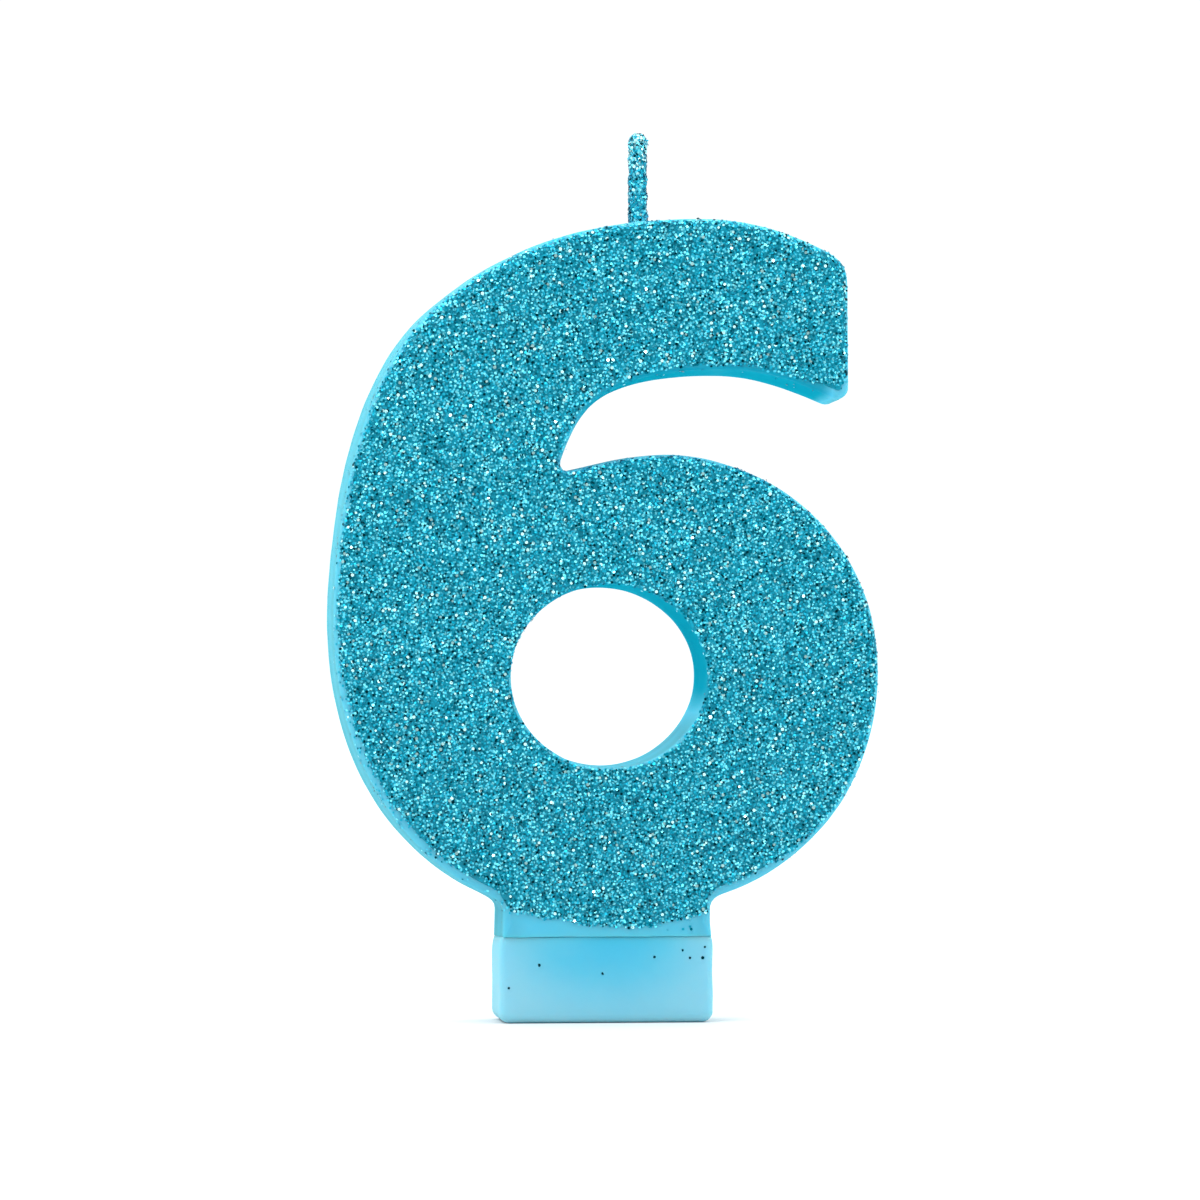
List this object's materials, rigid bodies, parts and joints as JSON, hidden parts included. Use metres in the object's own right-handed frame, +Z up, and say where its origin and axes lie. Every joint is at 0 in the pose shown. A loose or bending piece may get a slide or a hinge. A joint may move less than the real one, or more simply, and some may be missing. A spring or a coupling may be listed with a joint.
{
  "type": "number birthday candle",
  "caption": "Cast wax numeral six birthday candle on a rectangular foot, glitter-coated front, plaited wick dipped in wax and glitter.",
  "frame": {"origin": "middle of the overall box in X and Y, on the underside of the foot", "axes": "+Z up, from the foot to the wick; the glitter front faces -Y; +X to the right when looking at the front"},
  "size_m": [0.0506, 0.0096, 0.0825],
  "materials": {
    "wax": "translucent light blue candle wax, soft satin gloss",
    "glue": "clear glossy glue film, tinted by the wax under it",
    "glitter": "dense fine turquoise metallised film glitter with white and dark flashes",
    "cotton": "bleached cotton yarn, waxed",
    "wick_glitter": "fine turquoise glitter turning silvery white towards the tip"
  },
  "bodies": {
    "root": {"wax_numeral": "wax", "wax_foot": "wax", "glue_film": "glue", "glitter_layer": "glitter", "wick_strand_1": "cotton", "wick_strand_2": "cotton", "wick_strand_3": "cotton", "wick_wax_coat": "wax", "wick_glitter_coat": "wick_glitter"}
  },
  "joints": []
}
